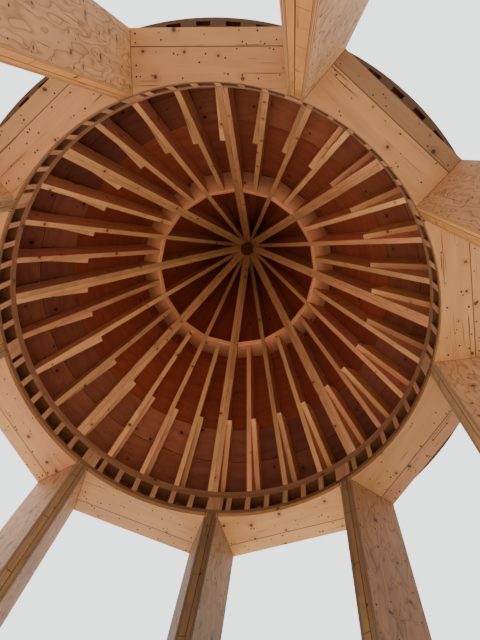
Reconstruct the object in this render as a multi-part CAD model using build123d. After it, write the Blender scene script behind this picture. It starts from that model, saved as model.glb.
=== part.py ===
from build123d import *
import os
from math import atan, cos, hypot, radians, sin, sqrt, tan

# A round timber turret with a bell-cast conical roof, open inside, on nine built-up posts.
# Millimetres, +Z up. The origin is on the roof's axis at the level of the posts' feet.
# Rafter 0, a single one, lies on +X, and angles grow counterclockwise seen from above.

# Overall sizes
ring_radius = 1435.0       # inner face of the round knee wall, where the rafters' undersides start
post_length = 4877.0       # floor to the underside of the headers
pitch = 2.0                # rise over run of the main roof
kick_pitch = 1.0           # rise over run of the kicked-out eave
post_count = 9
post_turn = 1.25           # angle of the first post from rafter 0

# Timber sections
timber = 38.0              # thickness of every sawn plank, stud and plate
rafter_depth = 184.0
plate_width = 89.0         # width of the plates and of the studs
plywood = 12.0             # linings and back of the posts
sheathing = 19.0           # roof boards and the board round the eave
board_overhang = 12.0      # roof boards beyond the board round the eave
facets = 64                # flats of the boarding, with a corner over every rafter and one between

# Roof frame
rafter_count = 32          # every second one runs to the king post
king_flats = 133.0         # octagonal king post, across flats
king_drop = 100.0          # king post below the undersides of the rafters that meet it
mid_ring_radius = 718.0    # undersides of the long rafters at the ring of blocks
kick_reach = 303.0         # kick rafters start this far inside the knee wall

# Knee wall and eave wall
stud_count = 64
stud_height = 153.0        # knee wall studs
top_plates = 2
eave_gap = 293.0           # inner face of the knee wall to the inner face of the eave studs
eave_soles = 2
eave_lap = 12.0            # eave studs and the board round them lap the top sole plate by this much

# Headers and posts
inner_plank = 182.0        # inner header plank at mid-span, from its curved edge to its straight one
outer_plank = 97.0
post_setback = 6.0         # inner faces of the posts behind the knee wall's face
post_face = 92.0           # width of a post's inner face
post_side = 343.0          # width of a post's flaring sides

# Fits
joint = 0.5                # between neighbouring timbers that share a node
far = 20000.0              # size of the cutting blocks

soffit = post_length
bay = 360.0 / rafter_count
post_bay = 360.0 / post_count
half_post_bay = radians(post_bay / 2)
knee_floor = soffit + timber
knee_seat = knee_floor + timber + stud_height + top_plates * timber
king_apothem = king_flats / 2
king_corner = king_apothem / cos(radians(22.5))
knee_outer = ring_radius + plate_width
eave_stud_inner = ring_radius + eave_gap
eave_stud_outer = eave_stud_inner + timber
eave_outer = eave_stud_outer + sheathing
eave_foot = knee_floor + eave_soles * timber - eave_lap
rafter_plumb = rafter_depth * hypot(1, pitch)
kick_plumb = rafter_depth * hypot(1, kick_pitch)
kick_start = ring_radius - kick_reach


def rafter_under(r):
    return knee_seat + pitch * (ring_radius - r)


def rafter_top(r):
    return rafter_under(r) + rafter_plumb


def kick_under(r):
    return rafter_under(kick_start) + kick_pitch * (kick_start - r)


def kick_top(r):
    return kick_under(r) + kick_plumb


eave_seat = kick_under(eave_stud_inner)
parts = {}


def add(node, *solids):
    parts.setdefault(node, []).extend(solids)


def upright_face(outline):
    # A flat face in the radial plane through +X, from (radius, height) pairs
    return make_face(Plane.XZ * Polyline(*outline, close=True))


def radial_plate(outline, side, width):
    # A plate that stands in the radial plane, with its faces at side and side + width from it
    return Pos(0, side, 0) * extrude(upright_face(outline), amount=width, dir=(0, 1, 0))


def turned(solid, angle):
    return Rot(0, 0, angle) * solid


def ring_part(outline, start, sweep):
    return turned(revolve(upright_face(outline), Axis.Z, revolution_arc=sweep), start)


def band(inner, outer, low, high):
    return [(inner, low), (outer, low), (outer, high), (inner, high)]


def polygon_part(outline, start, sweep, flats):
    # The same, with flats in place of a round; the radii in the outline are those of its corners
    def corners(i):
        angle = radians(start + i * sweep / flats)
        return [(r * cos(angle), r * sin(angle), z) for r, z in outline]

    faces = [make_face(Polyline(*corners(i), close=True)) for i in (0, flats)]
    for i in range(flats):
        here, there = corners(i), corners(i + 1)
        for k in range(len(outline)):
            side = [here[k - 1], here[k], there[k], there[k - 1]]
            faces.append(make_face(Polyline(*side, close=True)))
    return Solid(Shell(faces))


def beyond(side, angle):
    # Everything on the left of a line that leaves the axis at an angle and is shifted by side
    return turned(Pos(0, side, 0) * Box(far, far, far, align=(Align.CENTER, Align.MIN, Align.CENTER)), angle)


def short_of(side, angle):
    return turned(Pos(0, side, 0) * Box(far, far, far, align=(Align.CENTER, Align.MAX, Align.CENTER)), angle)


def space_below(top):
    # The pyramid under one slope of the boarding, to back the tops of the rafters with
    widest = (top(0) - soffit) / (top(0) - top(1))
    angles = [radians(i * 360 / facets) for i in range(facets)]
    foot = [(widest * cos(angle), widest * sin(angle), soffit) for angle in angles]
    tip = (0, 0, top(0))
    slopes = [make_face(Polyline(foot[i - 1], foot[i], tip, close=True)) for i in range(facets)]
    return Solid(Shell([make_face(Polyline(*foot, close=True))] + slopes))


main_space = space_below(rafter_top)
kick_space = space_below(kick_top)


# King post
def king_post():
    low = rafter_under(king_apothem) - king_drop
    high = rafter_top(king_corner) + sheathing * hypot(1, pitch)
    section = RegularPolygon(king_apothem, 8, major_radius=False)
    return Pos(0, 0, low) * extrude(section, amount=high - low)


# Long rafters: eight single ones, and between them eight doubled ones that butt the king post
def long_rafter_outline():
    return [(knee_outer, knee_seat), (ring_radius, knee_seat),
            (king_apothem, rafter_under(king_apothem)), (king_apothem, rafter_top(king_apothem)),
            (knee_outer, rafter_top(knee_outer))]


def single_rafter():
    # Its end is pointed, to fit between the two doubled rafters beside it
    rafter = radial_plate(long_rafter_outline(), -timber / 2, timber) & main_space
    rafter -= beyond(-timber - joint, 2 * bay)
    return rafter - short_of(timber + joint, -2 * bay)


def rafter_ply(hand):
    # One half of a doubled rafter, bevelled where it meets the next doubled one
    ply = radial_plate(long_rafter_outline(), hand * (timber + joint) / 2 - timber / 2, timber)
    ply &= main_space
    if hand > 0:
        return ply - beyond(-joint / 2, 2 * bay)
    return ply - short_of(joint / 2, -2 * bay)


# Ring of blocks half-way up, square to the slope between the long rafters
def block_corners():
    # The block's section at mid-bay, from its upper inner corner round to its lower inner one
    facet_pitch = pitch / cos(radians(bay))
    slope = atan(facet_pitch)
    along = (cos(slope), -sin(slope))
    outward = (sin(slope), cos(slope))
    start = (mid_ring_radius * cos(radians(bay)), rafter_under(mid_ring_radius))
    depth = rafter_plumb * cos(slope)

    def corner(down, out):
        return (start[0] + down * along[0] + out * outward[0], start[1] + down * along[1] + out * outward[1])

    return [corner(0, 0), corner(0, depth), corner(timber, depth), corner(timber, 0)]


def half_width(j):
    # Half the thickness of the long rafter at grid line j
    return timber / 2 if j % 4 == 0 else timber + joint / 2


def ring_block(j):
    # The block between long rafters j - 1 and j + 1, as it lies on +X
    block = radial_plate(block_corners(), -mid_ring_radius / 2, mid_ring_radius)
    block -= beyond(-half_width(j + 1), bay)
    return block - short_of(half_width(j - 1), -bay)


# Jack rafters, which end square against the blocks
def crossing(start, direction, line):
    # Where a line from start meets a slope that is given as a height for each radius
    fall = line(0) - line(1)
    reach = (line(start[0]) - start[1]) / (direction[1] + fall * direction[0])
    return (start[0] + reach * direction[0], start[1] + reach * direction[1])


def jack_rafter():
    outer, lower = block_corners()[2:]
    length = hypot(outer[0] - lower[0], outer[1] - lower[1])
    face = ((outer[0] - lower[0]) / length, (outer[1] - lower[1]) / length)
    outline = [(knee_outer, knee_seat), (ring_radius, knee_seat),
               crossing(lower, face, rafter_under), crossing(lower, face, rafter_top),
               (knee_outer, rafter_top(knee_outer))]
    return radial_plate(outline, -timber / 2, timber) & main_space


# Kick rafters, beside the rafters, with a square upper end and a level seat on the eave wall
def kick_rafter(j):
    side = -timber / 2 - timber
    if j % 4 == 2:
        side = -2 * timber - joint / 2
    end = sqrt(eave_stud_outer ** 2 - side ** 2) - joint
    slope = atan(kick_pitch)
    upper = (kick_start + rafter_depth * sin(slope), kick_under(kick_start) + rafter_depth * cos(slope))
    outline = [(kick_start, kick_under(kick_start)), (eave_stud_inner, eave_seat), (end, eave_seat),
               (end, kick_top(end)), upper]
    return radial_plate(outline, side, timber) & kick_space


# Knee wall: sole plate, studs and two top plates in quarters
def stud(inner, depth, width, low, high):
    outer = sqrt((inner + depth) ** 2 - (width / 2) ** 2)
    height = high - low
    return Pos(inner, 0, low) * Box(outer - inner, width, height, align=(Align.MIN, Align.CENTER, Align.MIN))


def knee_wall(quarter):
    sweep = 90.0
    start = quarter * sweep - 180.0 / stud_count
    plate_low = knee_floor + timber + stud_height
    lows = [knee_floor] + [plate_low + layer * timber for layer in range(top_plates)]
    for low in lows:
        gap = joint if low > knee_floor else 0
        yield ring_part(band(ring_radius, knee_outer, low + gap, low + timber), start, sweep)
    for i in range(stud_count // 4):
        upright = stud(ring_radius, plate_width, timber, knee_floor + timber + joint, plate_low)
        yield turned(upright, quarter * sweep + i * 360.0 / stud_count)


# Eave wall: flat studs against the edges of straight plates, and the board bent round them
def eave_wall(quarter):
    sweep = 90.0
    flats = stud_count // 4
    half_flat = 180.0 / stud_count
    start = quarter * sweep - half_flat
    plate_low = eave_seat - top_plates * timber
    sole_outer = (eave_stud_inner - joint) / cos(radians(half_flat))
    for layer in range(eave_soles):
        low = knee_floor + layer * timber
        gap = joint if layer else 0
        sole = band(sole_outer - plate_width, sole_outer, low + gap, low + timber)
        yield polygon_part(sole, start, sweep, flats)
    plate_outer = eave_stud_outer - joint
    for layer in range(top_plates):
        low = plate_low + layer * timber
        plate = band(plate_outer - plate_width, plate_outer, low + joint, low + timber)
        yield polygon_part(plate, start, sweep, flats)
    board = band(eave_stud_outer, eave_outer, eave_foot, kick_top(eave_stud_outer))
    yield ring_part(board, start, sweep) & kick_space
    for i in range(flats):
        upright = stud(eave_stud_inner, timber - joint, plate_width, eave_foot, plate_low)
        yield turned(upright, quarter * sweep + i * 2 * half_flat)


# Roof boards on the main slope and on the kicked-out eave, mitred where the slope changes
def roof_boards(quarter):
    main_rise = sheathing * hypot(1, pitch)
    kick_rise = sheathing * hypot(1, kick_pitch)

    def knee(rise, lower_rise):
        radius = (rafter_top(0) + rise - kick_top(0) - lower_rise) / (pitch - kick_pitch)
        return (radius, rafter_top(radius) + rise)

    inner = knee(0, 0)
    outer = knee(main_rise, kick_rise)
    head = king_corner + joint
    foot = eave_outer + board_overhang
    main = [(head, rafter_top(head)), (inner[0] - joint, inner[1] + pitch * joint),
            (outer[0] - joint, outer[1] + pitch * joint), (head, rafter_top(head) + main_rise)]
    kick = [inner, (foot, kick_top(foot)), (foot, kick_top(foot) + kick_rise), outer]
    yield polygon_part(main, quarter * 90.0, 90.0, facets // 4)
    yield polygon_part(kick, quarter * 90.0, 90.0, facets // 4)


# Headers: two planks side by side, flat, the inner one cut to the round
def header():
    post_inner = ring_radius + post_setback
    side = post_inner * sin(half_post_bay) - post_face / 2 * cos(half_post_bay) + plywood
    seam = ring_radius + inner_plank
    inner = Pos(0, 0, soffit) * Box(seam, 2 * side, timber, align=(Align.MIN, Align.CENTER, Align.MIN))
    inner -= Pos(0, 0, soffit) * Cylinder(ring_radius, 3 * timber)
    outer = Pos(seam + joint, 0, soffit) * Box(outer_plank - joint, 2 * side, timber,
                                               align=(Align.MIN, Align.CENTER, Align.MIN))
    return inner, outer


# Posts: two planks set in a V, plywood linings on both flaring sides and a plywood back
def post():
    inner = ring_radius + post_setback
    outer = inner + post_side * cos(half_post_bay)
    flare = tan(half_post_bay)

    def edge(x, depth):
        # Half the post's width at x, at a depth under the face of its lining
        return post_face / 2 + (x - inner) * flare - depth / cos(half_post_bay)

    def upright(points, high):
        return extrude(make_face(Polyline(*points, close=True)), amount=high)

    lining = [(inner, edge(inner, 0)), (inner, edge(inner, plywood)),
              (outer, edge(outer, plywood)), (outer, edge(outer, 0))]
    back = outer - plywood
    core = plywood + joint
    deep = core + timber
    right_plank = [(inner, edge(inner, core)), (inner, edge(inner, deep)),
                   (back - joint, edge(back - joint, deep)), (back - joint, edge(back - joint, core))]
    apex = inner - edge(inner, deep) / flare
    left_plank = [(inner, -edge(inner, core)), (inner, edge(inner, deep) - joint),
                  (apex + joint, -joint), (back - joint, -edge(back - joint, deep)),
                  (back - joint, -edge(back - joint, core))]
    closing = [(back, edge(back, core)), (back, -edge(back, core)),
               (outer, -edge(outer, core)), (outer, edge(outer, core))]
    mirrored = [(x, -y) for x, y in lining]
    return [upright(lining, soffit), upright(mirrored, soffit), upright(right_plank, knee_floor),
            upright(left_plank, knee_floor), upright(closing, knee_floor)]


add("king_post", king_post())
single = single_rafter()
plies = [rafter_ply(-1), rafter_ply(1)]
jack = jack_rafter()
blocks = {side: ring_block(side) for side in (1, 3)}
for j in range(rafter_count):
    quarter = j * 4 // rafter_count + 1
    if j % 4 == 0:
        add(f"long_rafters_{quarter}", turned(single, j * bay))
    elif j % 4 == 2:
        add(f"long_rafters_{quarter}", *(turned(ply, j * bay) for ply in plies))
    else:
        add(f"jack_rafters_{quarter}", turned(jack, j * bay))
        add("ring_blocks", turned(blocks[j % 4], j * bay))
    add(f"kick_rafters_{quarter}", turned(kick_rafter(j), j * bay))
for quarter in range(4):
    add(f"knee_wall_{quarter + 1}", *knee_wall(quarter))
    add(f"eave_wall_{quarter + 1}", *eave_wall(quarter))
    add(f"roof_boards_{quarter + 1}", *roof_boards(quarter))
for k in range(post_count):
    angle = post_turn + k * post_bay
    add(f"post_{k + 1}", *(turned(piece, angle) for piece in post()))
    add(f"header_{k + 1}", *(turned(plank, angle + post_bay / 2) for plank in header()))

os.makedirs("parts", exist_ok=True)
for node, solids in parts.items():
    shape = Compound(children=solids)
    shape.label = node
    export_step(shape, f"parts/{node}.step")
print(len(parts), "nodes,", sum(len(shape) for shape in parts.values()), "solids")
print("height", round(rafter_top(king_corner) + sheathing * hypot(1, pitch)),
      "widest radius", round(eave_outer + board_overhang))
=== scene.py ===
import math
import random

import bmesh
import bpy
from mathutils import Euler, Matrix, Vector


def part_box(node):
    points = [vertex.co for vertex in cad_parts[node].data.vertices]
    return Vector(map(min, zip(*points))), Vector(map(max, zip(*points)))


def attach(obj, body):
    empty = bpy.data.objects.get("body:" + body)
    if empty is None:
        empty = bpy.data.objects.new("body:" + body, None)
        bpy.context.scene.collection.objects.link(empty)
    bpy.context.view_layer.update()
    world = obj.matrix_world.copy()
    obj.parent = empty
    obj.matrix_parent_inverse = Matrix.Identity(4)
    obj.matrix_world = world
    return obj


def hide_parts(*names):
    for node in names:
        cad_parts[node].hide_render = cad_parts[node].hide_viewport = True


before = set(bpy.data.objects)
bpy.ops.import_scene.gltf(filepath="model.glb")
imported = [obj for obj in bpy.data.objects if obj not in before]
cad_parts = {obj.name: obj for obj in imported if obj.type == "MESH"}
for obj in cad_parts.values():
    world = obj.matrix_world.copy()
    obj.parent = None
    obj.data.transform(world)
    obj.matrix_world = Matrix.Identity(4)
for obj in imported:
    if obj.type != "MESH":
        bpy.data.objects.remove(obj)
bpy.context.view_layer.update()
print("frame loaded:", len(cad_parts), "pieces")

# Sizes of the turret in metres, and its spacings in degrees
turret = {
    "ringRadius": 1.435,       # face of the round knee wall
    "soffit": 4.877,           # underside of the headers
    "kneeSeat": 5.182,         # where the rafters start
    "rafterDepth": 0.184,
    "timber": 0.038,
    "gap": 0.0005,             # between timbers that lie face to face
    "ply": 0.012,
    "sheathing": 0.019,
    "pitch": 2.0,
    "kickPitch": 1.0,
    "kickStart": 1.132,        # how far out the kick rafters start
    "eaveFoot": 4.979,         # lower ends of the eave studs
    "eaveBoard": 1.766,        # inner face of the board round the eave
    "longRafters": 16,         # every second one is doubled
    "jackRafters": 16,
    "kickRafters": 32,
    "studs": 64,
    "posts": 9,
    "rafterBay": 11.25,
    "postBay": 40.0,
    "postTurn": 1.25,
    "postFace": 0.092,         # width of a post's inner face
    "postInner": 1.441,
    "postOuter": 1.763,
    "bayHalf": 0.4496,         # half the clear width between two posts
    "plankSeam": 1.617,        # where the two planks of a header meet
}
skin = 0.0006                  # a point this near to a face counts as on it
chance = random.Random(7)

# Where each kind of timber starts in the random numbers, so that its grain is its own
firstSeed = {
    "pair": 20.0, "jack": 40.0, "kick": 60.0, "block": 100.0, "header": 300.0,
    "lining": 400.0, "back": 430.0, "postBlocks": 450.0, "column": 500.0, "kingPost": 500.0,
    "kneeWall": 600.0, "eaveWall": 700.0, "cripple": 900.0,
}


# Shader helpers: each takes numbers or other nodes' outputs, and gives back an output
def feed(tree, socket, value):
    if isinstance(value, bpy.types.NodeSocket):
        tree.links.new(value, socket)
    else:
        socket.default_value = value


def calc(tree, operation, *values):
    node = tree.nodes.new("ShaderNodeMath")
    node.operation = operation
    for socket, value in zip(node.inputs, values):
        feed(tree, socket, value)
    return node.outputs[0]


def plus(tree, first, second):
    return calc(tree, "ADD", first, second)


def minus(tree, first, second):
    return calc(tree, "SUBTRACT", first, second)


def times(tree, first, second):
    return calc(tree, "MULTIPLY", first, second)


def timesPlus(tree, first, second, third):
    return calc(tree, "MULTIPLY_ADD", first, second, third)


def absolute(tree, value):
    return calc(tree, "ABSOLUTE", value)


def above(tree, value, limit):
    return calc(tree, "GREATER_THAN", value, limit)


def below(tree, value, limit):
    return calc(tree, "LESS_THAN", value, limit)


def both(tree, first, second):
    return calc(tree, "MULTIPLY", first, second)


def either(tree, first, second):
    return calc(tree, "MAXIMUM", first, second)


def no(tree, switch):
    return calc(tree, "SUBTRACT", 1.0, switch)


def triple(tree, x, y, z):
    node = tree.nodes.new("ShaderNodeCombineXYZ")
    for socket, value in zip(node.inputs, (x, y, z)):
        feed(tree, socket, value)
    return node.outputs[0]


def grey(tree, value):
    return triple(tree, value, value, value)


def mixed(tree, factor, first, second, mode="MIX"):
    node = tree.nodes.new("ShaderNodeMix")
    node.data_type = "RGBA"
    node.blend_type = mode
    feed(tree, node.inputs[0], factor)
    feed(tree, node.inputs[6], first)
    feed(tree, node.inputs[7], second)
    return node.outputs[2]


def tinted(tree, colour, tone):
    return mixed(tree, 1.0, colour, tone, "MULTIPLY")


def tintedOn(tree, switch, colour, tone):
    # The tone lies only where switch is 1
    return tinted(tree, colour, mixed(tree, switch, (1, 1, 1, 1), tone))


def fade(tree, value, start, end):
    # 0 at start and 1 at end, with a soft turn at both
    node = tree.nodes.new("ShaderNodeMapRange")
    node.interpolation_type = "SMOOTHSTEP"
    feed(tree, node.inputs[0], value)
    feed(tree, node.inputs[1], start)
    feed(tree, node.inputs[2], end)
    return node.outputs[0]


def choose(tree, switch, off, on):
    # A number that is off where switch is 0 and on where it is 1
    node = tree.nodes.new("ShaderNodeMix")
    feed(tree, node.inputs[0], switch)
    feed(tree, node.inputs[2], off)
    feed(tree, node.inputs[3], on)
    return node.outputs[0]


def line(tree, value, place, half):
    # 1 on a thin line where value is at a place, and 0 away from it
    return fade(tree, absolute(tree, minus(tree, value, place)), half, half * 0.4)


def isNumber(tree, number, which):
    return line(tree, number, which, 0.4)


def cloud(tree, x, y, z, detail=3.0):
    node = tree.nodes.new("ShaderNodeTexNoise")
    node.inputs["Scale"].default_value = 1.0
    node.inputs["Detail"].default_value = detail
    tree.links.new(triple(tree, x, y, z), node.inputs["Vector"])
    return node.outputs[0]


def lots(tree, seed):
    # Three random numbers that belong to a seed
    node = tree.nodes.new("ShaderNodeTexWhiteNoise")
    node.noise_dimensions = "1D"
    feed(tree, node.inputs["W"], seed)
    split = tree.nodes.new("ShaderNodeSeparateColor")
    tree.links.new(node.outputs["Color"], split.inputs[0])
    return split.outputs[0], split.outputs[1], split.outputs[2]


def marked(tree, name):
    # A number that a mesh carries on its faces
    node = tree.nodes.new("ShaderNodeAttribute")
    node.attribute_name = name
    return node.outputs["Fac"]


def spot(tree):
    split = tree.nodes.new("ShaderNodeSeparateXYZ")
    tree.links.new(tree.nodes.new("ShaderNodeTexCoord").outputs["Object"], split.inputs[0])
    return split.outputs[0], split.outputs[1], split.outputs[2]


def bearing(tree, x, y, start):
    return minus(tree, calc(tree, "ARCTAN2", y, x), math.radians(start))


def fromAxis(tree, out, side):
    return calc(tree, "SQRT", timesPlus(tree, out, out, times(tree, side, side)))


def spokes(tree, count, start):
    # The nearest of a ring of spokes: its number, then a point's place out along it,
    # beside it and up
    x, y, z = spot(tree)
    step = 2 * math.pi / count
    number = calc(tree, "ROUND", calc(tree, "DIVIDE", bearing(tree, x, y, start), step))
    angle = timesPlus(tree, number, step, math.radians(start))
    c = calc(tree, "COSINE", angle)
    s = calc(tree, "SINE", angle)
    out = timesPlus(tree, x, c, times(tree, y, s))
    side = minus(tree, times(tree, y, c), times(tree, x, s))
    return calc(tree, "FLOORED_MODULO", number, count), out, side, z


def slopeWise(tree, out, z, pitch):
    # Along a slope and square to it
    run = 1 / math.hypot(1, pitch)
    along = minus(tree, times(tree, out, run), times(tree, z, pitch * run))
    depth = timesPlus(tree, out, pitch * run, times(tree, z, run))
    return along, depth


def lobes(tree, start, places, narrow):
    # 1 at some places round the axis, 0 half-way between them
    x, y, z = spot(tree)
    wave = calc(tree, "COSINE", times(tree, bearing(tree, x, y, start), places))
    return calc(tree, "POWER", timesPlus(tree, wave, 0.5, 0.5), narrow)


# Finishes
sawnLook = {
    "pale": (0.720, 0.360, 0.155, 1),
    "pink": (0.650, 0.280, 0.125, 1),      # the same in a redder plank
    "late": (0.330, 0.125, 0.042, 1),      # dark line at the end of a ring, and dark patches
    "knot": (0.090, 0.026, 0.010, 1),
    "ringWidth": 0.0050,
    "rings": 0.24,
    "sharp": 2.2,                          # high for thin ring lines
    "curve": 1.0,                          # how far the rings bend with the pith
    "swing": 0.030,                        # and how far they wander
    "swirl": (1.1, 5.0),                   # bends in a metre, along and across
    "fibre": 0.16,
    "patches": 0.75,
    "cracks": 0.65,
    "knotSpacing": 0.27,
    "knotRadius": 0.012,
    "knotShare": 0.60,
    "toneRange": 0.30,                     # light and dark timbers
    "rough": 0.62,
    "gloss": 1.42,                         # refractive index
    "relief": 0.0006,
}
rafterLook = dict(
    sawnLook, pale=(0.880, 0.460, 0.170, 1), pink=(0.800, 0.340, 0.150, 1),
    knotSpacing=0.20, knotShare=0.75, toneRange=0.50)
headerLook = dict(
    sawnLook, pale=(0.740, 0.370, 0.125, 1), pink=(0.640, 0.290, 0.115, 1),
    rings=0.07, swing=0.060, fibre=0.12, patches=0.85, cracks=0.85,
    knotSpacing=0.19, knotRadius=0.011, knotShare=0.75, toneRange=0.22)
studLook = dict(sawnLook, pale=(0.760, 0.400, 0.190, 1), pink=(0.700, 0.330, 0.170, 1))
# A darker copy of the sawn finish: painted shade for the eave wall, which lies in shadow
eaveShadedLook = dict(
    sawnLook, pale=(0.360, 0.170, 0.072, 1), pink=(0.290, 0.125, 0.050, 1), toneRange=0.5)
plyLook = dict(
    sawnLook, pale=(0.620, 0.330, 0.145, 1), pink=(0.570, 0.275, 0.120, 1),
    late=(0.260, 0.125, 0.045, 1),
    ringWidth=0.029, rings=0.85, sharp=4.2, curve=0.25, swing=0.28, swirl=(2.2, 9.0),
    patches=1.25, cracks=0.75, knotSpacing=0.17, rough=0.60, relief=0.0004)
# Boards: dark red, partly their own colour and partly painted shade of the inside of the cone
shadedBoardLook = dict(
    sawnLook, pale=(0.400, 0.098, 0.046, 1), pink=(0.340, 0.073, 0.034, 1),
    late=(0.165, 0.030, 0.014, 1), knot=(0.025, 0.006, 0.003, 1),
    ringWidth=0.022, rings=0.12, curve=0.2, swing=0.25, patches=1.05, cracks=0.35,
    knotSpacing=0.40, knotShare=0.50, toneRange=0.40, gloss=1.28, relief=0.0003)
shadedFlareLook = dict(
    shadedBoardLook, pale=(0.370, 0.108, 0.054, 1), pink=(0.310, 0.080, 0.038, 1),
    cracks=0.9, knotSpacing=0.20, knotShare=0.60, toneRange=0.45)
columnLook = dict(sawnLook, pale=(0.670, 0.295, 0.075, 1), pink=(0.610, 0.245, 0.067, 1))
kingLook = dict(sawnLook, gloss=1.2)

# How the grain is made, the same for all finishes
grain = {
    "shift": (37.0, 23.0),             # how far a seed moves the pattern, along and across
    "pithAcross": (0.16, -0.08),       # spread of the pith's places, and the first of them
    "pithThrough": (0.07, 0.035),
    "fibres": (7.0, 260.0),            # in a metre, along and across
    "patches": (2.2, 16.0, 3.0),       # the same, then a shift away from the other patterns
    "cracks": (2.4, 110.0, 9.0),
    "crackEdge": (0.70, 0.76),         # from here on the pattern is a crack
    "patchLevel": 0.45,                # below this a patch makes the wood paler
    "darkShare": 0.6,                  # the part of the tone range that is below 1
    "knotDark": 0.9,
    "knotEdge": (1.15, 0.75),          # where a knot ends, in its radii
    "swerveEdge": (4.0, 0.6),
    "swerve": 0.012,                   # how far a knot pushes the rings aside
    "swerveDark": 0.30,
    "relief": (-0.5, 0.6, -2.0),       # heights of rings, fibres and cracks
}


def knots(tree, along, beside, look):
    # 1 inside a knot, and how strongly the grain swerves round it
    node = tree.nodes.new("ShaderNodeTexVoronoi")
    node.voronoi_dimensions = "2D"
    node.inputs["Scale"].default_value = 1 / look["knotSpacing"]
    tree.links.new(triple(tree, along, beside, 0.0), node.inputs["Vector"])
    split = tree.nodes.new("ShaderNodeSeparateColor")
    tree.links.new(node.outputs["Color"], split.inputs[0])
    distance = times(tree, node.outputs["Distance"], look["knotSpacing"])
    there = below(tree, split.outputs[0], look["knotShare"])
    radius = timesPlus(tree, split.outputs[1], look["knotRadius"], 0.25 * look["knotRadius"])
    reach = calc(tree, "DIVIDE", distance, radius)
    knot = both(tree, fade(tree, reach, *grain["knotEdge"]), there)
    return knot, both(tree, fade(tree, reach, *grain["swerveEdge"]), there)


def woodGrain(tree, along, across, through, seed, look):
    # Colour and relief of a sawn piece, with its grain along the first direction
    first, second, third = lots(tree, seed)
    run = timesPlus(tree, first, grain["shift"][0], along)
    beside = plus(tree, timesPlus(tree, second, grain["shift"][1], across), through)
    knot, swerve = knots(tree, run, beside, look)
    spread, start = grain["pithAcross"]
    pithAcross = timesPlus(tree, second, spread, plus(tree, across, start))
    spread, start = grain["pithThrough"]
    pithThrough = timesPlus(tree, third, spread, plus(tree, through, start))
    reach = tree.nodes.new("ShaderNodeVectorMath")
    reach.operation = "LENGTH"
    tree.links.new(triple(tree, pithAcross, pithThrough, 0.0), reach.inputs[0])
    often, beyond = look["swirl"]
    wander = cloud(tree, times(tree, run, often), times(tree, beside, beyond), 0.0, detail=2.0)
    distance = times(tree, wander, look["swing"])
    distance = timesPlus(tree, reach.outputs["Value"], look["curve"], distance)
    distance = timesPlus(tree, swerve, grain["swerve"], distance)
    ring = calc(tree, "FRACT", calc(tree, "DIVIDE", distance, look["ringWidth"]))
    ring = calc(tree, "POWER", ring, look["sharp"])
    often, beyond = grain["fibres"]
    fibre = cloud(tree, times(tree, run, often), times(tree, across, beyond),
                  times(tree, through, beyond), detail=2.0)
    often, beyond, apart = grain["patches"]
    patch = cloud(tree, times(tree, run, often), times(tree, beside, beyond), apart, detail=4.0)
    often, beyond, apart = grain["cracks"]
    split = cloud(tree, times(tree, run, often), times(tree, across, beyond),
                  timesPlus(tree, through, beyond, apart), detail=1.0)
    crack = times(tree, fade(tree, split, *grain["crackEdge"]), look["cracks"])
    dark = timesPlus(tree, ring, look["rings"], times(tree, fibre, look["fibre"]))
    patch = timesPlus(tree, patch, look["patches"], -grain["patchLevel"] * look["patches"])
    dark = timesPlus(tree, swerve, grain["swerveDark"], plus(tree, dark, patch))
    dark = calc(tree, "MINIMUM", calc(tree, "MAXIMUM", dark, 0.0), 1.0)
    colour = mixed(tree, dark, mixed(tree, third, look["pale"], look["pink"]), look["late"])
    lowest = 1.0 - grain["darkShare"] * look["toneRange"]
    colour = tinted(tree, colour, grey(tree, timesPlus(tree, first, look["toneRange"], lowest)))
    black = either(tree, times(tree, knot, grain["knotDark"]), crack)
    colour = mixed(tree, black, colour, look["knot"])
    ringHeight, fibreHeight, crackHeight = grain["relief"]
    relief = plus(tree, times(tree, ring, ringHeight), times(tree, fibre, fibreHeight))
    return colour, timesPlus(tree, crack, crackHeight, relief)


def newMaterial(name):
    material = bpy.data.materials.new(name)
    material.use_nodes = True
    return material, material.node_tree


def finishMaterial(tree, colour, relief, look):
    shader = tree.nodes["Principled BSDF"]
    tree.links.new(colour, shader.inputs["Base Color"])
    shader.inputs["Roughness"].default_value = look["rough"]
    shader.inputs["IOR"].default_value = look["gloss"]
    bump = tree.nodes.new("ShaderNodeBump")
    bump.inputs["Distance"].default_value = look["relief"]
    bump.inputs["Strength"].default_value = 1.0
    tree.links.new(relief, bump.inputs["Height"])
    tree.links.new(bump.outputs[0], shader.inputs["Normal"])


seamColour = (0.045, 0.016, 0.008, 1)
seamDark = 0.85                # how much of it shows in a seam
rafters = {
    "sideShade": (0.92, 0.78, 1.05, 1),     # painted shade: the sides are darker than the undersides
    "seam": 0.0018,            # half the seam between the two plies of a double rafter
    "seamDark": 0.55,
    "singleHubShade": 0.54,         # painted shade at the king post, and between which radii it fades
    "singleShadeFade": (0.10, 0.85),
    "pairHubShade": 0.86,
    "pairShadeFade": (0.05, 0.60),
    "shadeRedden": 1.15,            # the painted shade is redder too
}


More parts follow.
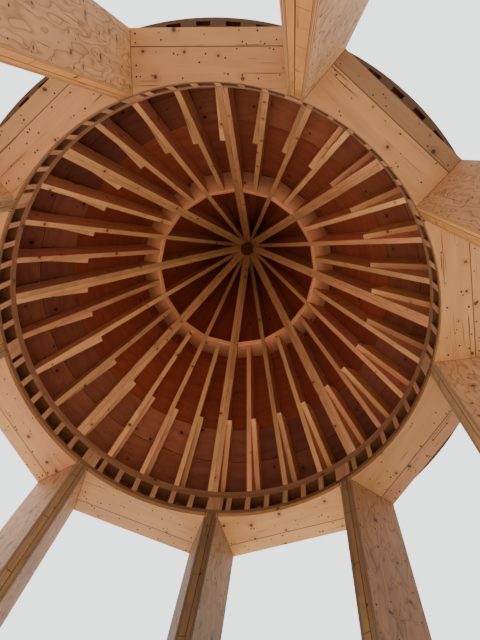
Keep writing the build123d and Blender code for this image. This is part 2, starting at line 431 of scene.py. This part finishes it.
def longRafterMaterial():
    # Every second one is doubled: its two plies are told apart by their side
    material, tree = newMaterial("long_rafter_wood")
    half = turret["longRafters"] // 2
    pairNumber, pairOut, pairSide, z = spokes(tree, half, 2 * turret["rafterBay"])
    number, out, side, z = spokes(tree, half, 0.0)
    isPair = below(tree, absolute(tree, pairSide), turret["timber"] + turret["gap"])
    ply = above(tree, pairSide, 0.0)
    pairSeed = plus(tree, timesPlus(tree, pairNumber, 2.0, ply), firstSeed["pair"])
    seed = choose(tree, isPair, number, pairSeed)
    along, depth = slopeWise(tree, choose(tree, isPair, out, pairOut), z, turret["pitch"])
    beside = choose(tree, isPair, side, pairSide)
    colour, relief = woodGrain(tree, along, depth, beside, seed, rafterLook)
    seam = times(tree, line(tree, pairSide, 0.0, rafters["seam"]), rafters["seamDark"])
    colour = mixed(tree, seam, colour, seamColour)
    thick = choose(tree, isPair, turret["timber"] / 2, turret["timber"])
    onSide = above(tree, absolute(tree, beside), minus(tree, thick, skin))
    # the sides get painted shade
    colour = tintedOn(tree, onSide, colour, rafters["sideShade"])
    # painted shade towards the king post, deep in the cone
    shade = choose(tree, fade(tree, out, *rafters["singleShadeFade"]), rafters["singleHubShade"], 1.0)
    pairShade = choose(tree, fade(tree, pairOut, *rafters["pairShadeFade"]), rafters["pairHubShade"], 1.0)
    shade = choose(tree, isPair, shade, pairShade)
    green = calc(tree, "POWER", shade, rafters["shadeRedden"])
    colour = tinted(tree, colour, triple(tree, shade, green, shade))
    finishMaterial(tree, colour, relief, rafterLook)
    return material


def rafterMaterial(name, count, start, pitch, seed):
    material, tree = newMaterial(name)
    number, out, side, z = spokes(tree, count, start)
    along, depth = slopeWise(tree, out, z, pitch)
    colour, relief = woodGrain(tree, along, depth, side, plus(tree, number, seed), rafterLook)
    # the sides of the main rafters get painted shade
    if pitch == turret["pitch"]:
        onSide = above(tree, absolute(tree, side), turret["timber"] / 2 - skin)
        colour = tintedOn(tree, onSide, colour, rafters["sideShade"])
    finishMaterial(tree, colour, relief, rafterLook)
    return material


blocks = {
    "tone": (1.30, 1.16, 1.16, 1),
    "shadeUpwards": -0.35,          # painted shade: the inner faces are darker towards their tops
    "edge": (0.002, 0.0008),   # and a painted highlight makes the lower edges pale
    "edgeHighlight": 1.25,
}


def blockMaterial():
    material, tree = newMaterial("block_wood")
    number, out, side, z = spokes(tree, turret["jackRafters"], turret["rafterBay"])
    down, depth = slopeWise(tree, out, z, turret["pitch"])
    seed = plus(tree, number, firstSeed["block"])
    colour, relief = woodGrain(tree, side, depth, down, seed, sawnLook)
    run = 1 / math.hypot(1, turret["pitch"])
    lowest = (turret["ringRadius"] * turret["pitch"] + turret["kneeSeat"]) * run
    rise = minus(tree, depth, lowest)
    height = fade(tree, rise, 0.0, turret["rafterDepth"])
    # painted shade towards the tops, and a painted highlight on the lower edges
    shade = timesPlus(tree, height, blocks["shadeUpwards"], 1.0)
    shade = choose(tree, fade(tree, rise, *blocks["edge"]), shade, blocks["edgeHighlight"])
    colour = tinted(tree, tinted(tree, colour, grey(tree, shade)), blocks["tone"])
    finishMaterial(tree, colour, relief, sawnLook)
    return material


# The knee wall and the eave wall
walls = {
    "studFoot": 4.953,         # of the knee wall
    "studTop": 5.106,
    "eaveStudTop": 5.116,
    "plates": 8,               # lengths of plate round a wall
    "plateStart": 22.5,
    "plateShift": 0.013,       # above a whole number of timbers from the floor
    "plateTone": (0.640, 0.610, 0.600, 1),         # plates are darker than studs
    "soleTone": (0.440, 0.450, 0.440, 1),
    "hollowShadeColour": (0.155, 0.047, 0.010, 1),      # painted shade inside the walls
    "hollowShadeShare": 0.92,
    "shadeSide": 165.0,         # where the painted shade on the knee wall is deepest, and its tone there
    "deepestShade": 0.66,
    "shadeNarrow": 1.5,
}


# Painted shade on one side of the knee wall
def kneeWallShade(tree, colour):
    shade = lobes(tree, walls["shadeSide"], 1, walls["shadeNarrow"])
    return tinted(tree, colour, grey(tree, choose(tree, shade, 1.0, walls["deepestShade"])))


# Where painted shade lies in the knee wall's hollows
def kneeWallHollowShade(tree, reach, z):
    foot, top, ring = walls["studFoot"], walls["studTop"], turret["ringRadius"]
    between = both(tree, fade(tree, z, foot - 0.002, foot + 0.002),
                   fade(tree, z, top + 0.0025, top + 0.0005))
    return both(tree, between, fade(tree, reach, ring + 0.001, ring + 0.008))


# Where painted shade lies inside the eave wall
def eaveHollowShade(tree, reach, z):
    foot, board = turret["eaveFoot"], turret["eaveBoard"]
    return both(tree, fade(tree, z, foot, foot + 0.006),
                fade(tree, reach, board + 0.004, board + 0.001))


def wallMaterial(name, studFoot, studTop, seed, look, hollow):
    # Plates lie round the wall, studs stand between them; hollow says where painted shade lies
    # inside
    material, tree = newMaterial(name)
    stud, out, side, z = spokes(tree, turret["studs"], 0.0)
    arc, arcOut, arcSide, z = spokes(tree, walls["plates"], walls["plateStart"])
    isStud = both(tree, above(tree, z, studFoot), below(tree, z, studTop))
    layer = calc(tree, "DIVIDE", minus(tree, z, walls["plateShift"]), turret["timber"])
    plate = timesPlus(tree, calc(tree, "FLOOR", layer), walls["plates"], arc)
    timberSeed = plus(tree, choose(tree, isStud, plate, stud), seed)
    along = choose(tree, isStud, arcSide, z)
    through = choose(tree, isStud, z, side)
    colour, relief = woodGrain(tree, along, out, through, timberSeed, look)
    tone = mixed(tree, above(tree, z, studTop), walls["soleTone"], walls["plateTone"])
    colour = tintedOn(tree, no(tree, isStud), colour, tone)
    # the knee wall gets painted shade on one side
    if hollow is kneeWallHollowShade:
        colour = kneeWallShade(tree, colour)
    # painted shade in the hollows
    inside = times(tree, hollow(tree, fromAxis(tree, out, side), z), walls["hollowShadeShare"])
    colour = mixed(tree, inside, colour, walls["hollowShadeColour"])
    finishMaterial(tree, colour, relief, look)
    return material


headers = {
    # planks that have darkened: the bay, whether it is the outer plank, and its tone
    "darkPlanks": ((0, True, 0.84), (1, True, 0.46), (3, False, 0.80), (3, True, 0.72),
                   (5, False, 0.83), (5, True, 0.82), (6, True, 0.90), (8, True, 0.90)),
    "ageing": 0.8,             # dark planks are greyer too
    "cutEdgeTone": (0.780, 0.780, 0.740, 1),       # the sawn curve of the inner planks
    "seam": 0.0040,            # half the seams between the planks and at their ends
    "endSeam": 0.0035,
}


def headerMaterial():
    # Two planks side by side, with a dark seam between them and dark ends against the posts
    material, tree = newMaterial("header_wood")
    start = turret["postTurn"] + turret["postBay"] / 2
    number, out, side, z = spokes(tree, turret["posts"], start)
    outer = above(tree, out, turret["plankSeam"])
    seed = plus(tree, timesPlus(tree, number, 2.0, outer), firstSeed["header"])
    colour, relief = woodGrain(tree, side, out, z, seed, headerLook)
    shade = 1.0
    for bay, isOuter, tone in headers["darkPlanks"]:
        plank = outer if isOuter else no(tree, outer)
        shade = choose(tree, both(tree, isNumber(tree, number, bay), plank), shade, tone)
    blue = calc(tree, "POWER", shade, headers["ageing"])
    colour = tinted(tree, colour, triple(tree, shade, shade, blue))
    ring = turret["ringRadius"]
    cut = fade(tree, fromAxis(tree, out, side), ring + 2 * skin, ring + 0.0004)
    colour = tintedOn(tree, cut, colour, headers["cutEdgeTone"])
    seam = either(tree, line(tree, out, turret["plankSeam"], headers["seam"]),
                  line(tree, absolute(tree, side), turret["bayHalf"], headers["endSeam"]))
    colour = mixed(tree, times(tree, seam, seamDark), colour, seamColour)
    finishMaterial(tree, colour, relief, headerLook)
    return material


post = {
    "lightAndShade": (1.14, 1.08, 1.10, 0.77, 0.54, 0.42, 0.70, 0.90, 0.95),       # painted light and shade on each post, round the ring
    "tintedPosts": 3,            # from this one on the posts get a grey face tint and a painted highlight
    "greyFace": (0.86, 1.12, 1.75, 1),     # their inner faces are greyer
    "liningTopHighlight": 1.35,           # and a painted highlight on their linings, over the last metre
    "seam": -0.0080,           # where the two columns meet on the inner face
    "seamHalf": 0.0030,
    "liningSeam": 0.0026,      # half the seams along a lining, in front and at the back
    "backSeam": 0.0020,
    "blockLength": 0.47,       # lengths of timber in the filled column
    "butt": 0.008,             # half a joint between two of them, in lengths
    "layer": 0.0024,           # layers in the edge of a sheet
    "layerEdge": (0.0004, 0.0016),
    "darkLayer": (0.20, 0.080, 0.030, 1),
    "paleLayer": (0.56, 0.27, 0.10, 1),
    "stretch": 0.02,           # keeps the sheets' figure flat
}


def postMaterial():
    # Sheets on the flaring sides and the back; on the inner face, two columns of timber
    material, tree = newMaterial("post_wood")
    number, out, side, z = spokes(tree, turret["posts"], turret["postTurn"])
    half = math.radians(turret["postBay"] / 2)
    length = minus(tree, out, turret["postInner"])
    halfWidth = timesPlus(tree, length, math.tan(half), turret["postFace"] / 2)
    depth = times(tree, minus(tree, halfWidth, absolute(tree, side)), math.cos(half))
    rightSide = above(tree, side, 0.0)
    inLining = below(tree, depth, turret["ply"] + skin / 2)
    backFace = turret["postOuter"] - turret["ply"] - skin / 2
    inBack = both(tree, above(tree, out, backFace), no(tree, inLining))
    inSheet = either(tree, inLining, inBack)
    onFace = below(tree, out, turret["postInner"] + skin)
    atBack = above(tree, out, turret["postOuter"] - skin)
    onEdge = either(tree, onFace, both(tree, inLining, atBack))

    liningSeed = plus(tree, timesPlus(tree, number, 2.0, rightSide), firstSeed["lining"])
    backSeed = plus(tree, number, firstSeed["back"])
    sheetSeed = choose(tree, inBack, liningSeed, backSeed)
    across = choose(tree, inBack, calc(tree, "DIVIDE", out, math.cos(half)), side)
    through = times(tree, side, post["stretch"])
    sheet, sheetRelief = woodGrain(tree, z, across, through, sheetSeed, plyLook)
    backSeam = both(tree, inBack, line(tree, depth, turret["ply"], post["backSeam"]))
    sheet = mixed(tree, backSeam, sheet, seamColour)
    layers = fade(tree, calc(tree, "PINGPONG", depth, post["layer"]), *post["layerEdge"])
    edge = mixed(tree, layers, post["darkLayer"], post["paleLayer"])

    column = above(tree, side, post["seam"])
    lot = lots(tree, plus(tree, number, firstSeed["postBlocks"]))[0]
    height = calc(tree, "DIVIDE", plus(tree, z, lot), post["blockLength"])
    block = times(tree, calc(tree, "FLOOR", height), column)
    plankSeed = timesPlus(tree, number, 31.0, block)
    plankSeed = plus(tree, plankSeed, times(tree, column, firstSeed["column"]))
    plank, plankRelief = woodGrain(tree, z, side, out, plankSeed, columnLook)
    butt = both(tree, line(tree, calc(tree, "FRACT", height), 0.5, post["butt"]), column)
    seam = either(tree, line(tree, side, post["seam"], post["seamHalf"]), butt)
    seam = either(tree, seam, line(tree, depth, turret["ply"], post["liningSeam"]))
    plank = mixed(tree, times(tree, seam, seamDark), plank, seamColour)

    colour = mixed(tree, inSheet, plank, mixed(tree, onEdge, sheet, edge))
    # painted light and shade, post by post round the ring
    shade = 1.0
    for which, tone in enumerate(post["lightAndShade"]):
        shade = choose(tree, isNumber(tree, number, which), shade, tone)
    colour = tinted(tree, colour, grey(tree, shade))
    tintedPost = above(tree, number, post["tintedPosts"] - 0.5)
    colour = tintedOn(tree, both(tree, onFace, tintedPost), colour, post["greyFace"])
    # a painted highlight on the linings near the headers
    top = fade(tree, z, turret["soffit"] - 1.0, turret["soffit"])
    high = both(tree, both(tree, inLining, tintedPost), top)
    colour = tinted(tree, colour, grey(tree, choose(tree, high, 1.0, post["liningTopHighlight"])))
    relief = choose(tree, inSheet, plankRelief, sheetRelief)
    finishMaterial(tree, colour, relief, plyLook)
    return material


kingPost = {
    "endColour": (0.080, 0.022, 0.004, 1),         # dark lower end grain
    "endFade": (0.030, 0.002),             # heights above the lower end
}


def kingPostMaterial():
    # Dark on its lower end
    material, tree = newMaterial("king_post_wood")
    x, y, z = spot(tree)
    colour, relief = woodGrain(tree, z, x, y, firstSeed["kingPost"], kingLook)
    rise = minus(tree, z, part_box("king_post")[0][2])
    end = fade(tree, rise, *kingPost["endFade"])
    colour = mixed(tree, end, colour, kingPost["endColour"])
    finishMaterial(tree, colour, relief, kingLook)
    return material


# Roof boards: courses round the cone, and painted light and shade on them
boards = {
    "courses": (
        # upper radius, lower radius, slope, bays in a board, grain up the slope
        (0.0735, 0.934, "main", 4, True),
        (0.934, 1.2832, "main", 2, False),
        (1.2832, 1.482, "kick", 2, False),
        (1.482, 1.797, "kick", 2, False),
    ),
    "flats": 64,
    "chamfer": 0.0025,
    "sharp": 40,               # degrees at an edge that is chamfered
    "seamArea": 0.6,           # a face below this times the two radii and the chamfer is a seam
    "seamDark": 0.7,
    "lightAndShade": {
        # where the painted light on the boards is brightest, at how many places round, how narrow,
        # the tone there and elsewhere
        "main": (45.0, 1, 3.0, (1.15, 1.28, 1.35, 1), (1.00, 0.90, 0.84, 1)),
        "kick": (62.0, 2, 1.5, (1.36, 1.55, 1.34, 1), (0.76, 0.76, 0.78, 1)),
    # the outside shows the boards' own paler colour, free of the painted shade inside
    },
    "outsideUnshaded": (1.15, 2.40, 2.30, 1),          # the weather side has bleached
    "outsideTilt": 0.3,        # faces that look up more than this are on it
}


def boardMaterial(name, look, upSlope, slope):
    # Boards on the slope, each with its own grain; the seams round the cone are dark
    material, tree = newMaterial(name)
    number, out, side, z = spokes(tree, turret["longRafters"], 0.0)
    seed = timesPlus(tree, marked(tree, "course"), turret["longRafters"], number)
    pitch = turret["pitch"] if slope == "main" else turret["kickPitch"]
    along, depth = slopeWise(tree, out, z, pitch)
    ways = (along, side) if upSlope else (side, along)
    colour, relief = woodGrain(tree, *ways, depth, seed, look)
    start, places, narrow, litTone, shadedTone = boards["lightAndShade"][slope]
    # painted light and shade round the cone, lifted off on the outside
    tone = mixed(tree, lobes(tree, start, places, narrow), shadedTone, litTone)
    tone = mixed(tree, marked(tree, "outside"), tone, boards["outsideUnshaded"])
    colour = tinted(tree, colour, tone)
    seam = times(tree, marked(tree, "rim"), boards["seamDark"])
    colour = mixed(tree, seam, colour, seamColour)
    finishMaterial(tree, colour, relief, look)
    return material


def crippleMaterial():
    # Each timber has its own grain, upright, and the knee wall's painted shade on one side
    material, tree = newMaterial("cripple_wood")
    timbersRound = 237         # as many as would fit round the wall
    number, out, side, z = spokes(tree, timbersRound, 0.0)
    seed = plus(tree, number, firstSeed["cripple"])
    colour, relief = woodGrain(tree, z, side, out, seed, studLook)
    finishMaterial(tree, kneeWallShade(tree, colour), relief, studLook)
    return material


def dress(prefix, material):
    for name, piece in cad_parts.items():
        if name.startswith(prefix):
            for socket in piece.material_slots:
                socket.material = material


dress("long_rafters", longRafterMaterial())
dress("jack_rafters", rafterMaterial("jack_rafter_wood", turret["jackRafters"], turret["rafterBay"],
                                     turret["pitch"], firstSeed["jack"]))
dress("kick_rafters", rafterMaterial("kick_rafter_wood", turret["kickRafters"], 0.0,
                                     turret["kickPitch"], firstSeed["kick"]))
dress("ring_blocks", blockMaterial())
dress("knee_wall", wallMaterial("knee_wall_wood", walls["studFoot"], walls["studTop"],
                                firstSeed["kneeWall"], studLook, kneeWallHollowShade))
dress("eave_wall", wallMaterial("eave_wall_wood", turret["eaveFoot"], walls["eaveStudTop"],
                                firstSeed["eaveWall"], eaveShadedLook, eaveHollowShade))
dress("header", headerMaterial())
dress("post", postMaterial())
dress("king_post", kingPostMaterial())
print("materials done")


def rafterTop(radius):
    plumb = turret["rafterDepth"] * math.hypot(1, turret["pitch"])
    return turret["kneeSeat"] + turret["pitch"] * (turret["ringRadius"] - radius) + plumb


def kickTop(radius):
    start = turret["kneeSeat"] + turret["pitch"] * (turret["ringRadius"] - turret["kickStart"])
    plumb = turret["rafterDepth"] * math.hypot(1, turret["kickPitch"])
    return start + turret["kickPitch"] * (turret["kickStart"] - radius) + plumb


def clearSelection():
    bpy.ops.object.select_all(action="DESELECT")


def partBoards(course, number, bays):
    # Splits the band on the rafters between its boards
    mesh = course.data
    mesh.polygons.foreach_set("select", [False] * len(mesh.polygons))
    mesh.edges.foreach_set("select", [False] * len(mesh.edges))
    wide = bays * turret["rafterBay"]
    shift = (number % 2) * wide / 2
    for corner in mesh.vertices:
        turn = (math.degrees(math.atan2(corner.co.y, corner.co.x)) - shift) / wide
        corner.select = abs(turn - round(turn)) < 0.01
    bpy.ops.object.mode_set(mode="EDIT")
    bpy.ops.mesh.select_mode(type="VERT")
    bpy.ops.mesh.select_mode(type="EDGE")
    bpy.ops.mesh.edge_split(type="EDGE")
    bpy.ops.object.mode_set(mode="OBJECT")


def thickenBoards(course):
    thicken = course.modifiers.new("thickness", "SOLIDIFY")
    thicken.thickness = turret["sheathing"]
    thicken.offset = 1.0
    thicken.use_even_offset = True
    bpy.ops.object.modifier_apply(modifier="thickness")
    soften = course.modifiers.new("chamfer", "BEVEL")
    soften.width = boards["chamfer"]
    soften.segments = 1
    soften.limit_method = "ANGLE"
    soften.angle_limit = math.radians(boards["sharp"])
    bpy.ops.object.modifier_apply(modifier="chamfer")


def markFaces(course, name, values):
    layer = course.data.attributes.new(name, "FLOAT", "FACE")
    layer.data.foreach_set("value", values)


def layCourse(number, upper, lower, height, bays, material):
    # A band of flats, parted on the rafters, given its thickness and chamfered seams
    clearSelection()
    high, low = height(upper), height(lower)
    bpy.ops.mesh.primitive_cone_add(
        vertices=boards["flats"], radius1=lower, radius2=upper, depth=high - low,
        end_fill_type="NOTHING", location=(0, 0, (high + low) / 2))
    course = bpy.context.object
    course.name = f"roof_course_{number}"
    bpy.ops.object.transform_apply(location=True, rotation=False, scale=False)
    partBoards(course, number, bays)
    thickenBoards(course)
    faces = course.data.polygons
    smallest = boards["seamArea"] * (upper + lower) * boards["chamfer"]
    narrow = [float(face.area < smallest) for face in faces]
    markFaces(course, "course", [float(number)] * len(faces))
    markFaces(course, "rim", narrow)
    markFaces(course, "outside", [float(face.normal.z > boards["outsideTilt"]) for face in faces])
    course.data.materials.append(material)
    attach(course, "root")
    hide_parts(*[f"roof_boards_{quarter}" for quarter in (1, 2, 3, 4)])
    print("course", number, "has", len(course.data.polygons), "faces,", sum(narrow), "at seams")


steepWood = boardMaterial("steep_board_wood", shadedBoardLook, True, "main")
lowWood = boardMaterial("low_board_wood", shadedBoardLook, False, "main")
flareWood = boardMaterial("flare_board_wood", shadedFlareLook, False, "kick")
for number, (upper, lower, slope, bays, upSlope) in enumerate(boards["courses"], 1):
    if slope == "main":
        layCourse(number, upper, lower, rafterTop, bays, steepWood if upSlope else lowWood)
    else:
        layCourse(number, upper, lower, kickTop, bays, flareWood)
print("roof boards done")


def gather(name, master, moves, material):
    # Copies of a small shape, each moved by its matrix, joined into one piece
    gathered = bmesh.new()
    for move in moves:
        copy = master.data.copy()
        copy.transform(move)
        gathered.from_mesh(copy)
        bpy.data.meshes.remove(copy)
    mesh = bpy.data.meshes.new(name)
    gathered.to_mesh(mesh)
    gathered.free()
    piece = bpy.data.objects.new(name, mesh)
    bpy.context.scene.collection.objects.link(piece)
    piece.data.materials.append(material)
    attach(piece, "root")
    print(name, len(piece.data.polygons), "faces")


# Nails, whose heads show on the undersides of the headers and on the sides of the posts
nails = {
    "radius": 0.0055,
    "proud": 0.0008,
    "sides": 8,
    "sizes": (0.65, 1.15),
    # rows of a header: radius, and how far its nails stray
    "headerRows": ((1.465, 0.018), (1.535, 0.030), (1.592, 0.016), (1.642, 0.010), (1.688, 0.014)),
    "headerStep": 0.140,
    "headerStray": (0.6, 1.4),
    "headerShare": 0.72,       # of the places that have a nail
    "margins": (0.030, 0.015, 0.008),      # clear of the first and the last end and of the curve
    "twinShare": 0.25,         # of the nails that have a second one close by
    "twinStep": 0.022,
    "twinStray": 0.012,
    "postRows": (0.020, 0.125, 0.300),     # along the flaring side from its inner edge
    "postFirst": 0.10,
    "postStep": 0.205,
    "postStray": (0.7, 1.3),
    "postShare": 0.85,
    "postMargin": 0.03,
    "rowStray": 0.010,
    "colour": (0.016, 0.007, 0.004, 1),
    "rust": (0.045, 0.018, 0.010, 1),
    "rustScale": 90.0,
}


def nailMaterial():
    material, tree = newMaterial("nail_steel")
    rust = cloud(tree, *[times(tree, way, nails["rustScale"]) for way in spot(tree)])
    shader = tree.nodes["Principled BSDF"]
    colour = mixed(tree, rust, nails["colour"], nails["rust"])
    tree.links.new(colour, shader.inputs["Base Color"])
    shader.inputs["Metallic"].default_value = 0.2
    shader.inputs["Roughness"].default_value = 0.7
    return material


def nailHead():
    # One head, made at the origin and facing up
    clearSelection()
    bpy.ops.mesh.primitive_cylinder_add(vertices=nails["sides"], radius=nails["radius"],
                                        depth=2 * nails["proud"], location=(0, 0, 0))
    head = bpy.context.object
    bpy.ops.object.mode_set(mode="EDIT")
    bpy.ops.mesh.select_all(action="DESELECT")
    bpy.ops.mesh.select_mode(type="FACE")
    bpy.ops.object.mode_set(mode="OBJECT")
    for face in head.data.polygons:
        face.select = face.normal.z > 0.9
    bpy.ops.object.mode_set(mode="EDIT")
    bpy.ops.mesh.inset(thickness=nails["radius"] * 0.45)
    bpy.ops.transform.translate(value=(0, 0, nails["proud"] * 0.5))
    bpy.ops.object.mode_set(mode="OBJECT")
    return head


def around(angle, out, side, z):
    c, s = math.cos(math.radians(angle)), math.sin(math.radians(angle))
    return (out * c - side * s, out * s + side * c, z)


def headerNails():
    # Each place is a point and the way that the nail faces
    first, last, curve = nails["margins"]
    stray = nails["twinStray"]
    for bay in range(turret["posts"]):
        angle = turret["postTurn"] + turret["postBay"] * (bay + 0.5)
        for row, spread in nails["headerRows"]:
            side = -turret["bayHalf"] + first
            while side < turret["bayHalf"] - last:
                out = row + chance.uniform(-spread, spread)
                inside = math.hypot(out, side) > turret["ringRadius"] + curve
                if inside and chance.random() < nails["headerShare"]:
                    yield around(angle, out, side, turret["soffit"]), (0, 0, -1)
                    if chance.random() < nails["twinShare"]:
                        twin = out + chance.uniform(-stray, stray), side + nails["twinStep"]
                        yield around(angle, *twin, turret["soffit"]), (0, 0, -1)
                side += nails["headerStep"] * chance.uniform(*nails["headerStray"])


def postNails():
    half = math.radians(turret["postBay"] / 2)
    stray = nails["rowStray"]
    for number in range(turret["posts"]):
        angle = turret["postTurn"] + turret["postBay"] * number
        for hand in (-1, 1):
            facing = around(angle, -math.sin(half), hand * math.cos(half), 0)
            for row in nails["postRows"]:
                z = nails["postFirst"] + chance.uniform(0, 0.1)
                while z < turret["soffit"] - nails["postMargin"]:
                    reach = row + chance.uniform(-stray, stray)
                    out = turret["postInner"] + reach * math.cos(half)
                    side = hand * (turret["postFace"] / 2 + reach * math.sin(half))
                    if chance.random() < nails["postShare"]:
                        yield around(angle, out, side, z), facing
                    z += nails["postStep"] * chance.uniform(*nails["postStray"])


def nailMoves(places):
    for point, facing in places:
        turn = Vector(facing).to_track_quat("Z", "Y").to_matrix().to_4x4()
        yield Matrix.Translation(point) @ turn @ Matrix.Scale(chance.uniform(*nails["sizes"]), 4)


steel = nailMaterial()
head = nailHead()
gather("header_nails", head, nailMoves(headerNails()), steel)
gather("post_nails", head, nailMoves(postNails()), steel)
bpy.data.objects.remove(head)

# Short timbers that stand together in the knee wall over each post
cripples = {
    "bottom": 4.9535,
    "top": 5.1055,
    "depth": 0.087,
    "face": 1.4340,            # radius of their inner faces, just proud of the studs
    "play": 0.0004,            # clearance between two of them
    "chamfer": 0.0015,
    "together": 3,
}


def crippleTimber():
    # One timber on end at the origin, its face towards -X
    clearSelection()
    bpy.ops.mesh.primitive_cube_add(size=1, location=(0, 0, 0))
    timber = bpy.context.object
    height = cripples["top"] - cripples["bottom"]
    timber.scale = (cripples["depth"], turret["timber"] - cripples["play"], height)
    bpy.ops.object.transform_apply(location=False, rotation=False, scale=True)
    soften = timber.modifiers.new("chamfer", "BEVEL")
    soften.width = cripples["chamfer"]
    soften.segments = 1
    bpy.ops.object.modifier_apply(modifier="chamfer")
    return timber


def crippleMoves():
    # From the stud nearest to each post, side by side towards the post
    studBay = 360 / turret["studs"]
    step = math.degrees(turret["timber"] / cripples["face"])
    out = cripples["face"] + cripples["depth"] / 2
    middle = Matrix.Translation((out, 0, (cripples["top"] + cripples["bottom"]) / 2))
    for number in range(turret["posts"]):
        angle = turret["postTurn"] + turret["postBay"] * number
        stud = round(angle / studBay) * studBay
        hand = 1 if angle > stud else -1
        for beside in range(cripples["together"]):
            turn = math.radians(stud + hand * beside * step)
            yield Matrix.Rotation(turn, 4, "Z") @ middle


timber = crippleTimber()
gather("post_cripples", timber, crippleMoves(), crippleMaterial())
bpy.data.objects.remove(timber)

# Floor, light and camera
studio = {
    "floorSize": 40.0,
    "floorColour": (0.80, 0.78, 0.75, 1),
    "floorRough": 0.8,
    "skyColour": (0.95, 0.97, 1.0, 1),
    "skyStrength": 1.20,
    "backdropStrength": 2.4,   # the backdrop shows paler than it shines
    "lamps": {
        # place, the point it faces, size, power, colour
        "floor_bounce": ((0.64, 0.64, 0.25), (0.32, 0.32, 6), 1.6, 24.0, (1, 1, 1)),
        "far": ((-5.8, -6.9, 4.3), (0, 0, 4.8), 3.5, 620.0, (1, 1, 1)),
        "side": ((-6.9, 5.8, 4.3), (0, 0, 4.8), 3.5, 220.0, (1, 1, 1)),
        "key": ((7, -7, 11), (0, 0, 4), 6.0, 900.0, (1.0, 0.96, 0.9)),
    },
}
camera = {
    "place": (0.7921, 0.8384, 1.436),      # standing inside, off the axis, looking up
    "turn": (163.683, -5.213, 110.636),
    "lens": 21.229,
    "sensorHeight": 24.0,
    "farthest": 200.0,
}

clearSelection()
bpy.ops.mesh.primitive_grid_add(x_subdivisions=4, y_subdivisions=4, size=studio["floorSize"],
                                location=(0, 0, 0))
floor = bpy.context.object
floor.name = "floor"
floorMaterial, floorTree = newMaterial("studio_floor")
floorShader = floorTree.nodes["Principled BSDF"]
floorShader.inputs["Base Color"].default_value = studio["floorColour"]
floorShader.inputs["Roughness"].default_value = studio["floorRough"]
floor.data.materials.append(floorMaterial)

world = bpy.data.worlds.new("studio_sky")
world.use_nodes = True
skyTree = world.node_tree
sky = skyTree.nodes["Background"]
sky.inputs[0].default_value = studio["skyColour"]
seen = skyTree.nodes.new("ShaderNodeLightPath").outputs["Is Camera Ray"]
strength = choose(skyTree, seen, studio["skyStrength"], studio["backdropStrength"])
feed(skyTree, sky.inputs[1], strength)
bpy.context.scene.world = world


def softLight(name, place, aim, size, power, colour):
    lamp = bpy.data.lights.new(name, "AREA")
    lamp.size = size
    lamp.energy = power
    lamp.color = colour
    light = bpy.data.objects.new(name, lamp)
    light.location = place
    light.rotation_euler = (Vector(aim) - Vector(place)).to_track_quat("-Z", "Y").to_euler()
    light.visible_camera = False
    bpy.context.scene.collection.objects.link(light)


for name, settings in studio["lamps"].items():
    softLight(name, *settings)

lens = bpy.data.cameras.new("camera")
lens.sensor_fit = "VERTICAL"
lens.sensor_height = camera["sensorHeight"]
lens.lens = camera["lens"]
lens.clip_end = camera["farthest"]
viewer = bpy.data.objects.new("camera", lens)
viewer.location = camera["place"]
viewer.rotation_euler = Euler([math.radians(angle) for angle in camera["turn"]])
bpy.context.scene.collection.objects.link(viewer)
bpy.context.scene.camera = viewer
print("floor, light and camera done")
